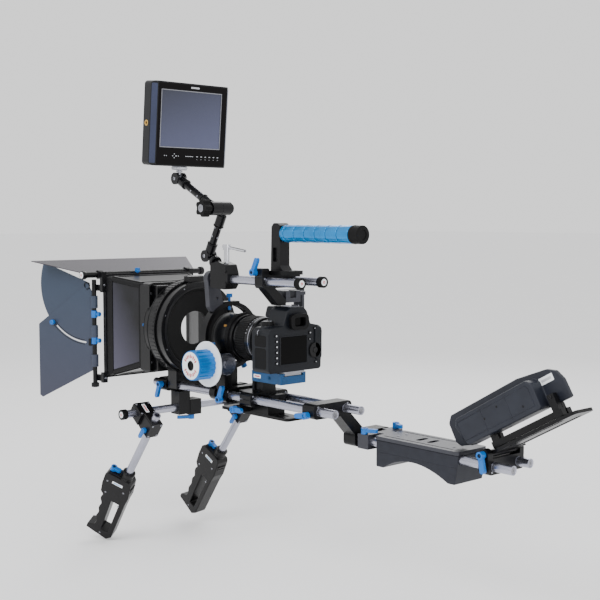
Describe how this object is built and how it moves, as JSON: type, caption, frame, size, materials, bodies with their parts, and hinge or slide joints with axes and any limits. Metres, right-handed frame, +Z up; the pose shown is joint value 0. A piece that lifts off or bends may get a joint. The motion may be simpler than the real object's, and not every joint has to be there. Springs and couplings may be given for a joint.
{
  "type": "cinema camera rig",
  "caption": "Shoulder-mounted DSLR cinema rig on parallel rods with matte box, follow focus, top handle, monitor on a jointed arm, hand grips, shoulder pad and rear support.",
  "frame": {"origin": "mouth of the tripod thread under the tripod plate", "axes": "+Z up, +Y from the matte box back to the shoulder, +X to the operator left"},
  "size_m": [0.38, 1.1244, 0.8868],
  "materials": {
    "satin_rod": "satin anodised",
    "black_anodised": "black anodised",
    "black_plastic": "fine grain",
    "camera_shell": "leatherette and fine grain",
    "matte_box_shell": "satin black paint",
    "flag_sheet": "satin slate paint",
    "blue_anodised": "satin azure anodised",
    "blue_lever": "azure powder coat",
    "white_disk": "plain white",
    "chrome": "polished",
    "bright_plate": "brushed",
    "pad_foam": "moulded foam skin",
    "monitor_shell": "glossy bezel",
    "screen": "dark display glass"
  },
  "bodies": {
    "rig": {"base_bridge": "black_anodised", "blue_screws": "blue_anodised", "cage_side_arm": "black_anodised", "cage_upright": "black_anodised", "camera_body": "camera_shell", "camera_plate": "bright_plate", "crab_clamp": "black_anodised", "end_caps": "black_plastic", "flag_post": "black_anodised", "gearbox": "black_anodised", "handle_grip": "blue_anodised", "handle_post": "black_anodised", "handlebar_bracket": "black_anodised", "lens_barrel": "camera_shell", "lens_support": "black_anodised", "main_rods": "satin_rod", "matte_box_donut": "black_plastic", "matte_box_hood": "matte_box_shell", "matte_box_stage": "matte_box_shell", "offset_bracket": "black_anodised", "qr_block": "blue_anodised", "rear_clamp": "black_anodised", "shoulder_pad": "pad_foam", "shoulder_plate": "bright_plate", "shoulder_rods": "satin_rod", "top_bridge": "black_anodised", "top_rods": "satin_rod", "tripod_plate": "black_anodised"},
    "left_arm": {"left_arm_clamp": "black_anodised", "left_arm_rod": "satin_rod"},
    "left_handgrip": {"left_grip": "black_plastic"},
    "right_arm": {"right_arm_clamp": "black_anodised", "right_arm_rod": "satin_rod"},
    "right_handgrip": {"right_grip": "black_plastic"},
    "top_handle_lever": {"lever_top_handle": "blue_lever"},
    "front_clamp_lever": {"lever_front_clamp": "blue_lever"},
    "handlebar_lever": {"lever_handlebar": "blue_lever"},
    "bridge_lever": {"lever_bridge": "blue_lever"},
    "rear_lever": {"lever_rear": "blue_lever"},
    "left_grip_lever": {"lever_left_grip": "blue_lever"},
    "right_grip_lever": {"lever_right_grip": "blue_lever"},
    "stud": {"arm_stud": "black_anodised"},
    "lower_link": {"lower_arm": "black_anodised"},
    "upper_link": {"upper_arm": "black_anodised"},
    "knob": {"elbow_knob": "black_plastic"},
    "monitor_foot": {"monitor_mount": "black_anodised"},
    "monitor": {"monitor_case": "monitor_shell", "monitor_screen": "screen"},
    "top_flag": {"top_flag": "flag_sheet"},
    "side_flag": {"side_flag": "flag_sheet"},
    "flag_leaf": {"side_flag_leaf": "flag_sheet"},
    "tee": {"tee_handle": "chrome"},
    "back_support": {"back_frame": "black_anodised", "back_panel": "black_plastic"},
    "hand_wheel": {"focus_wheel": "blue_anodised", "marking_disk": "white_disk"},
    "drive": {"drive_gear": "black_anodised"},
    "lens_ring": {"focus_ring": "black_plastic"},
    "dial_top": {"mode_dial": "camera_shell"},
    "dial_rear": {"rear_dial": "camera_shell"}
  },
  "joints": [
    {"name": "left_arm_swing", "type": "hinge", "parent": "rig", "child": "left_arm", "pos_m": [0, -0.232, -0.014], "axis": [1, 0, 0], "range_deg": [-20, 75]},
    {"name": "left_grip_turn", "type": "hinge", "parent": "left_arm", "child": "left_handgrip", "pos_m": [0.104, -0.29134, -0.15376], "axis": [0, -0.6088, -0.7934], "range_deg": [-60, 60]},
    {"name": "right_arm_swing", "type": "hinge", "parent": "rig", "child": "right_arm", "pos_m": [0, -0.232, -0.014], "axis": [1, 0, 0], "range_deg": [-20, 75]},
    {"name": "right_grip_turn", "type": "hinge", "parent": "right_arm", "child": "right_handgrip", "pos_m": [-0.113, -0.28038, -0.13948], "axis": [0, -0.6088, -0.7934], "range_deg": [-60, 60]},
    {"name": "top_handle_lever_turn", "type": "hinge", "parent": "rig", "child": "top_handle_lever", "pos_m": [0.056, 0.045, 0.258], "axis": [1, 0, 0], "range_deg": [-45, 45]},
    {"name": "front_clamp_lever_turn", "type": "hinge", "parent": "rig", "child": "front_clamp_lever", "pos_m": [0.044, -0.252, 0.031], "axis": [1, 0, 0], "range_deg": [-45, 45]},
    {"name": "handlebar_lever_turn", "type": "hinge", "parent": "rig", "child": "handlebar_lever", "pos_m": [-0.01, -0.232, -0.03], "axis": [0, 0, -1], "range_deg": [-45, 45]},
    {"name": "bridge_lever_turn", "type": "hinge", "parent": "rig", "child": "bridge_lever", "pos_m": [0.044, -0.067, 0.024], "axis": [1, 0, 0], "range_deg": [-45, 45]},
    {"name": "rear_lever_turn", "type": "hinge", "parent": "rig", "child": "rear_lever", "pos_m": [-0.05, 0.455, -0.008], "axis": [1, 0, 0], "range_deg": [-45, 45]},
    {"name": "left_grip_lever_turn", "type": "hinge", "parent": "left_handgrip", "child": "left_grip_lever", "pos_m": [0.12182, -0.30826, -0.13553], "axis": [0.0359, 0.5684, 0.8219], "range_deg": [-45, 45]},
    {"name": "right_grip_lever_turn", "type": "hinge", "parent": "right_handgrip", "child": "right_grip_lever", "pos_m": [-0.10983, -0.30177, -0.11783], "axis": [0.0064, 0.5595, 0.8288], "range_deg": [-45, 45]},
    {"name": "stud_pan", "type": "hinge", "parent": "rig", "child": "stud", "pos_m": [0.022, -0.131, 0.281], "axis": [0.1559, 0.9158, -0.3702], "range_deg": [-30, 30]},
    {"name": "lower_arm_tilt", "type": "hinge", "parent": "stud", "child": "lower_link", "pos_m": [0.022, -0.131, 0.281], "axis": [1, 0, 0], "range_deg": [-12, 20]},
    {"name": "elbow_bend", "type": "hinge", "parent": "lower_link", "child": "upper_link", "pos_m": [0.022, -0.084, 0.368], "axis": [1, 0, 0], "range_deg": [-30, 12]},
    {"name": "elbow_knob_turn", "type": "hinge", "parent": "upper_link", "child": "knob", "pos_m": [0.044, -0.084, 0.368], "axis": [1, 0, 0], "range_deg": [-90, 90]},
    {"name": "monitor_tilt", "type": "hinge", "parent": "upper_link", "child": "monitor_foot", "pos_m": [0.044, -0.192, 0.424], "axis": [1, 0, 0], "range_deg": [-30, 25]},
    {"name": "monitor_pan", "type": "hinge", "parent": "monitor_foot", "child": "monitor", "pos_m": [0.044, -0.192, 0.424], "axis": [0, 0.0872, 0.9962], "range_deg": [-80, 80]},
    {"name": "top_flag_fold", "type": "hinge", "parent": "rig", "child": "top_flag", "pos_m": [0, -0.374, 0.24], "axis": [1, 0, 0], "range_deg": [-70, 0]},
    {"name": "side_flag_swing", "type": "hinge", "parent": "rig", "child": "side_flag", "pos_m": [0.112, -0.384, 0.128], "axis": [0, 0, 1], "range_deg": [-21, 45]},
    {"name": "flag_leaf_turn", "type": "hinge", "parent": "side_flag", "child": "flag_leaf", "pos_m": [0.11773, -0.39894, 0.218], "axis": [-0.9336, -0.3584, 0], "range_deg": [-44, 0]},
    {"name": "tee_handle_turn", "type": "hinge", "parent": "rig", "child": "tee", "pos_m": [0.042, -0.052, 0.29], "axis": [0, 0, 1], "range_deg": [-60, 60]},
    {"name": "back_support_tilt", "type": "hinge", "parent": "rig", "child": "back_support", "pos_m": [-0.096, 0.455, -0.008], "axis": [1, 0, 0], "range_deg": [-20, 1]},
    {"name": "focus_wheel_turn", "type": "hinge", "parent": "rig", "child": "hand_wheel", "pos_m": [0.068, -0.078, 0.08901], "axis": [1, 0, 0], "range_deg": [-137, 137]},
    {"name": "drive_gear_turn", "type": "hinge", "parent": "rig", "child": "drive", "pos_m": [0.04334, -0.054, 0.08901], "axis": [0, 1, 0], "range_deg": [-137, 137]},
    {"name": "focus_ring_turn", "type": "hinge", "parent": "rig", "child": "lens_ring", "pos_m": [0, -0.054, 0.135], "axis": [0, 1, 0], "range_deg": [-60, 60]},
    {"name": "mode_dial_turn", "type": "hinge", "parent": "rig", "child": "dial_top", "pos_m": [0.044, 0.062, 0.17], "axis": [0, 0, 1], "continuous": true},
    {"name": "rear_dial_turn", "type": "hinge", "parent": "rig", "child": "dial_rear", "pos_m": [-0.041, 0.0895, 0.121], "axis": [0, 1, 0], "continuous": true}
  ],
  "couplings": [
    {"joint": "drive_gear_turn", "follows": "focus_wheel_turn", "ratio": 1},
    {"joint": "focus_ring_turn", "follows": "focus_wheel_turn", "ratio": -0.43636}
  ]
}
